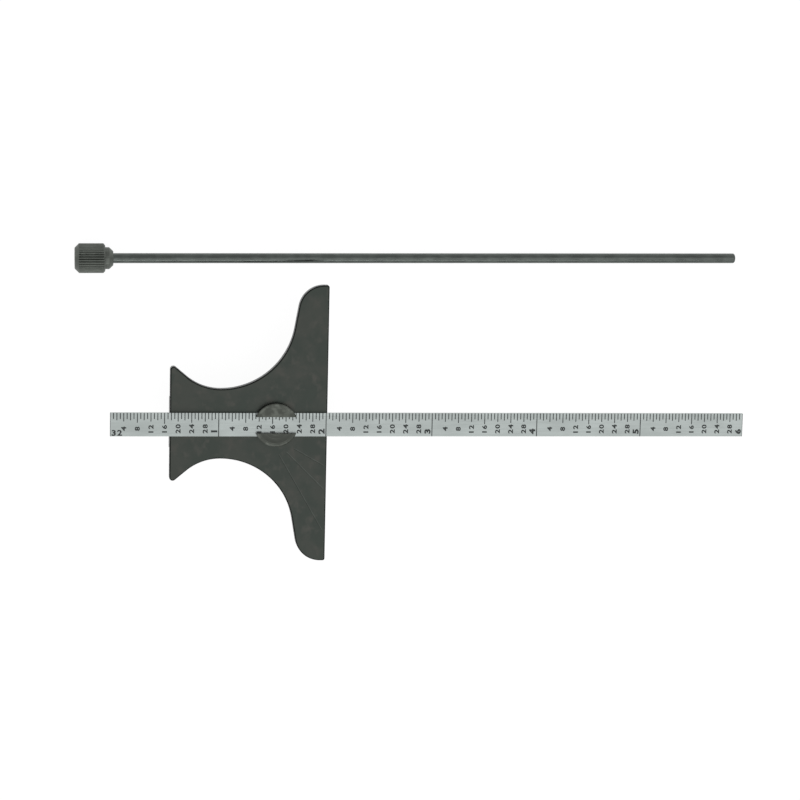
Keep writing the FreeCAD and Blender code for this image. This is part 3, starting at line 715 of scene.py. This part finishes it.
class GAUGE_OT_rule(bpy.types.Operator):
    """Finish the rule and engrave both its scales"""

    bl_idname = "gauge.rule"
    bl_label = "Rule"

    def execute(self, context):
        colours = context.scene.gauge_finishes
        scales = context.scene.gauge_scales
        grains = context.scene.gauge_grains
        dress("rule", satin_rule_finish(colours, grains))
        filling = scale_filling_finish(colours.scale_black, grains)
        face = Matrix.Translation(
            (RULE_LOW.x, (RULE_LOW.y + RULE_HIGH.y) / 2, RULE_HIGH.z + scales.fill_proud))
        back = (Matrix.Translation(
            (RULE_LOW.x, (RULE_LOW.y + RULE_HIGH.y) / 2, RULE_LOW.z - scales.fill_proud))
            @ Matrix.Rotation(math.pi, 4, "X"))
        self.engrave("face", scales, scales.face_divisions, face, filling)
        self.engrave("back", scales, scales.back_divisions, back, filling)
        return {"FINISHED"}

    def engrave(self, side, scales, divisions, place, material):
        """Lines and numerals of one side. Its own frame starts at the rule's zero end, on the
        middle of its width and at the top of the filling."""
        width = RULE_HIGH.y - RULE_LOW.y
        inches = round((RULE_HIGH.x - RULE_LOW.x) / INCH)
        division = INCH / divisions
        line = division * scales.line_share
        thickness = scales.fill_proud + scales.fill_depth
        steps = round(math.log2(divisions)) - 1
        count = inches * divisions + 1
        lines = grow(f"{side}_lines", graduation_tree(divisions), {
            "Count": count, "Spacing": division, "Line Width": line, "Line Thickness": thickness,
            "Shortest Line": scales.shortest_line,
            "Length Step": (scales.longest_line - scales.shortest_line) / steps,
            "Inch Line": width, "Material": material})
        self.trim_ends(lines.data, 0.0, inches * INCH)
        lines.data.transform(place @ Matrix.Translation((0.0, width / 2, -thickness / 2)))
        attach(lines, "rule_body")

        upright = Matrix.Rotation(math.pi / 2, 4, "Z")
        parts = []
        for eighth in range(1, EIGHTHS):
            text = str(eighth * divisions // EIGHTHS)
            parts.append((
                figure_mesh(text, scales.part_numeral_height, scales.part_numeral_advance,
                            thickness, scales.part_numeral_boldness, scales.figure_gap),
                Matrix.Translation(
                    (eighth * INCH / EIGHTHS, -scales.part_numeral_line, 0.0)) @ upright))
        numerals = grow(f"{side}_part_numerals", repeat_tree(), {
            "Count": inches, "Spacing": INCH, "Material": material},
            join_meshes(f"{side}_part_numerals", parts))
        numerals.data.transform(place @ Matrix.Translation((0.0, 0.0, -thickness / 2)))
        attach(numerals, "rule_body")

        wholes = []
        for number in range(1, inches + 1):
            wholes.append((
                figure_mesh(str(number), scales.inch_numeral_height, scales.inch_numeral_advance,
                            thickness, scales.inch_numeral_boldness, 1.0),
                Matrix.Translation((number * INCH - scales.inch_numeral_back,
                                    -scales.inch_numeral_line, 0.0)) @ upright))
        wholes.append((
            figure_mesh(str(divisions), scales.corner_mark_height, scales.corner_mark_advance,
                        thickness, scales.part_numeral_boldness, scales.figure_gap),
            Matrix.Translation((scales.corner_mark_place, -scales.corner_mark_line, 0.0))))
        marks = join_meshes(f"{side}_inch_numerals", wholes)
        marks.transform(place @ Matrix.Translation((0.0, 0.0, -thickness / 2)))
        marks.materials.append(material)
        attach(link_object(f"{side}_inch_numerals", marks), "rule_body")

    def trim_ends(self, mesh, start, end):
        """Pull the half of the first and last lines that stands outside the rule back to its
        ends."""
        for vertex in mesh.vertices:
            vertex.co.x = min(max(vertex.co.x, start), end)


class GAUGE_OT_clamp(bpy.types.Operator):
    """Finish the washer and the nut, and wind the friction spring of round wire"""

    bl_idname = "gauge.clamp"
    bl_label = "Spring, washer and nut"

    def execute(self, context):
        colours = context.scene.gauge_finishes
        grains = context.scene.gauge_grains
        steel = colours.washer_steel
        dress("thrust_washer", turned_finish(
            "Plain washer steel", steel, steel, grains.washer_ring_pitch,
            roughness=0.34, rim_radius=WASHER_RADIUS, grains=grains))
        dress("clamp_nut", drawn_steel_finish(
            "Blackened knurled nut", colours.knob_black, roughness=0.44, grains=grains))
        self.wind(context.scene.gauge_spring, drawn_steel_finish(
            "Drawn spring wire", colours.spring_wire, roughness=0.3, grains=grains))
        return {"FINISHED"}

    def wind(self, sizes, material):
        """The spring that presses the washer away from the head, in the space of the frame's
        own."""
        wire_radius = sizes.wire / 2
        spring = grow("coiled_spring", coil_tree(), {
            "Turns": sizes.turns, "Coil Radius": SPRING_HIGH.x - wire_radius,
            "Rise": SPRING_HIGH.z - SPRING_LOW.z - sizes.wire, "Wire Radius": wire_radius,
            "Turn Points": sizes.turn_points, "Wire Points": sizes.wire_points,
            "Bottom": SPRING_LOW.z + wire_radius, "Material": material})
        spring.data.shade_smooth()
        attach(spring, "head_body")
        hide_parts("friction_spring")
        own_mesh(spring)


class GAUGE_OT_rod(bpy.types.Operator):
    """Finish the loose measuring rod and its knob"""

    bl_idname = "gauge.rod"
    bl_label = "Rod and knob"

    def execute(self, context):
        colours = context.scene.gauge_finishes
        grains = context.scene.gauge_grains
        dress("rod", drawn_steel_finish(
            "Blackened drawn rod", colours.rod_black, roughness=0.3, grains=grains))
        dress("rod_knob", drawn_steel_finish(
            "Blackened knurled knob", colours.knob_black, roughness=0.46, grains=grains))
        return {"FINISHED"}


class GAUGE_OT_stage(bpy.types.Operator):
    """Set up the floor, the lamps and the camera"""

    bl_idname = "gauge.stage"
    bl_label = "Stage"

    def execute(self, context):
        studio = context.scene.gauge_studio
        self.lay_floor(context.scene.gauge_finishes.floor, studio)
        self.light_room(context.scene, studio)
        self.hang_softbox("Softbox", Vector(studio.softbox_way), studio.softbox_distance,
                          (studio.softbox_length, studio.softbox_width), studio.softbox_level)
        self.hang_softbox("Key", Vector(studio.key_way), studio.key_distance,
                          (studio.key_length, studio.key_width), studio.key_level)
        self.stand_camera(context.scene, studio)
        context.scene.view_settings.view_transform = "Standard"
        return {"FINISHED"}

    def white_to_viewers(self, tree):
        """1 for rays that look at the backdrop straight, in a mirror or through glass."""
        path = add_node(tree, "ShaderNodeLightPath").outputs
        seen = path["Is Camera Ray"]
        for kind in ("Is Glossy Ray", "Is Transmission Ray"):
            seen = add_node(tree, "ShaderNodeMath", {"operation": "MAXIMUM"},
                            {0: seen, 1: path[kind]}).outputs[0]
        return seen

    def lay_floor(self, colour, studio):
        """Pale floor that a viewer sees as nearly white, apart from the object's soft shadow."""
        half = studio.floor_side / 2
        mesh = bpy.data.meshes.new("floor")
        corners = [(-half, -half), (half, -half), (half, half), (-half, half)]
        mesh.from_pydata([(x, y, CAD_BOX[0].z) for x, y in corners], [], [(0, 1, 2, 3)])
        material = bpy.data.materials.new("Pale paper floor")
        material.use_nodes = True
        tree = material.node_tree
        tree.nodes.clear()
        seen = self.white_to_viewers(tree)
        shade = shaded([studio.floor_shade] * 3)
        pale = turn_colour(tree, seen, (0.0, 1.0), shaded(colour), shade)
        paper = add_node(tree, "ShaderNodeBsdfDiffuse", None, {"Color": pale})
        shine = add_node(tree, "ShaderNodeMath", {"operation": "MULTIPLY"},
                         {0: seen, 1: studio.floor_glow})
        glow = add_node(tree, "ShaderNodeEmission", None, {"Strength": shine.outputs[0]})
        both = add_node(tree, "ShaderNodeAddShader", None,
                        {0: paper.outputs[0], 1: glow.outputs[0]})
        add_node(tree, "ShaderNodeOutputMaterial", None, {"Surface": both.outputs[0]})
        mesh.materials.append(material)
        link_object("floor", mesh)

    def light_room(self, scene, studio):
        """A white backdrop all round, low down, that fades into a dimmer room up to twice its
        height."""
        world = bpy.data.worlds.new("Studio")
        world.use_nodes = True
        tree = world.node_tree
        tree.nodes.clear()
        way = add_node(tree, "ShaderNodeTexCoord").outputs["Generated"]
        height = add_node(tree, "ShaderNodeSeparateXYZ", None, {0: way}).outputs[2]
        fade_end = 2.0 * studio.backdrop_rise
        level = add_node(tree, "ShaderNodeMapRange", {"interpolation_type": "SMOOTHSTEP"}, {
            "Value": height, "From Min": studio.backdrop_rise, "From Max": fade_end,
            "To Min": 1.0, "To Max": studio.room_level}).outputs[0]
        sky = add_node(tree, "ShaderNodeBackground", None,
                       {"Color": (1.0, 1.0, 1.0, 1.0), "Strength": level})
        add_node(tree, "ShaderNodeOutputWorld", None, {"Surface": sky.outputs[0]})
        scene.world = world

    def hang_softbox(self, name, way, distance, sides, level):
        """An oblong lamp that faces the object from a direction, as bright as a given white."""
        data = bpy.data.lights.new(name, "AREA")
        data.shape = "RECTANGLE"
        data.size, data.size_y = sides
        data.energy = level * math.pi * data.size * data.size_y
        lamp = link_object(name, data)
        aim = Vector((HEAD_HIGH.x, 0.0, HEAD_HIGH.z))
        lamp.location = aim + way.normalized() * distance
        lamp.rotation_mode = "QUATERNION"
        lamp.rotation_quaternion = (-way).to_track_quat("-Z", "Y")

    def stand_camera(self, scene, studio):
        """A camera that looks at its aim with the Y axis pointing up, and is then rolled."""
        data = bpy.data.cameras.new("Camera")
        data.sensor_width = SENSOR_WIDTH
        data.lens = studio.camera_lens
        data.clip_start = NEAREST_SEEN
        camera = link_object("Camera", data)
        place, aim = Vector(studio.camera_place), Vector(studio.camera_aim)
        back = (place - aim).normalized()
        right = Vector((0.0, 1.0, 0.0)).cross(back).normalized()
        upright = Matrix((right, back.cross(right), back)).transposed().to_4x4()
        camera.matrix_world = (
            Matrix.Translation(place) @ upright @ Matrix.Rotation(studio.camera_roll, 4, "Z"))
        scene.camera = camera


PIECES = (
    GAUGE_OT_stage, GAUGE_OT_head, GAUGE_OT_turret, GAUGE_OT_rule, GAUGE_OT_clamp, GAUGE_OT_rod)

SETTINGS = {
    "gauge_scales": ScaleSettings,
    "gauge_head": HeadSettings,
    "gauge_spring": SpringSettings,
    "gauge_finishes": FinishSettings,
    "gauge_grains": GrainSettings,
    "gauge_studio": StudioSettings,
}


class GAUGE_PT_sidebar(bpy.types.Panel):
    """Lists the gauge's pieces and their settings"""

    bl_label = "Depth gauge"
    bl_idname = "GAUGE_PT_sidebar"
    bl_space_type = "VIEW_3D"
    bl_region_type = "UI"
    bl_category = "Depth gauge"

    def draw(self, context):
        for piece in PIECES:
            self.layout.operator(piece.bl_idname)
        for group in SETTINGS:
            settings = getattr(context.scene, group)
            box = self.layout.box()
            for name in settings.bl_rna.properties.keys():
                if name not in ("rna_type", "name"):
                    box.prop(settings, name)


def register():
    for group in SETTINGS.values():
        bpy.utils.register_class(group)
    for name, group in SETTINGS.items():
        setattr(bpy.types.Scene, name, bpy.props.PointerProperty(type=group))
    for piece in PIECES:
        bpy.utils.register_class(piece)
    bpy.utils.register_class(GAUGE_PT_sidebar)


def unregister():
    bpy.utils.unregister_class(GAUGE_PT_sidebar)
    for piece in reversed(PIECES):
        bpy.utils.unregister_class(piece)
    for name, group in SETTINGS.items():
        delattr(bpy.types.Scene, name)
        bpy.utils.unregister_class(group)


def main():
    register()
    bpy.ops.gauge.stage()
    bpy.ops.gauge.head()
    bpy.ops.gauge.turret()
    bpy.ops.gauge.rule()
    bpy.ops.gauge.clamp()
    bpy.ops.gauge.rod()


if __name__ == "__main__":
    main()
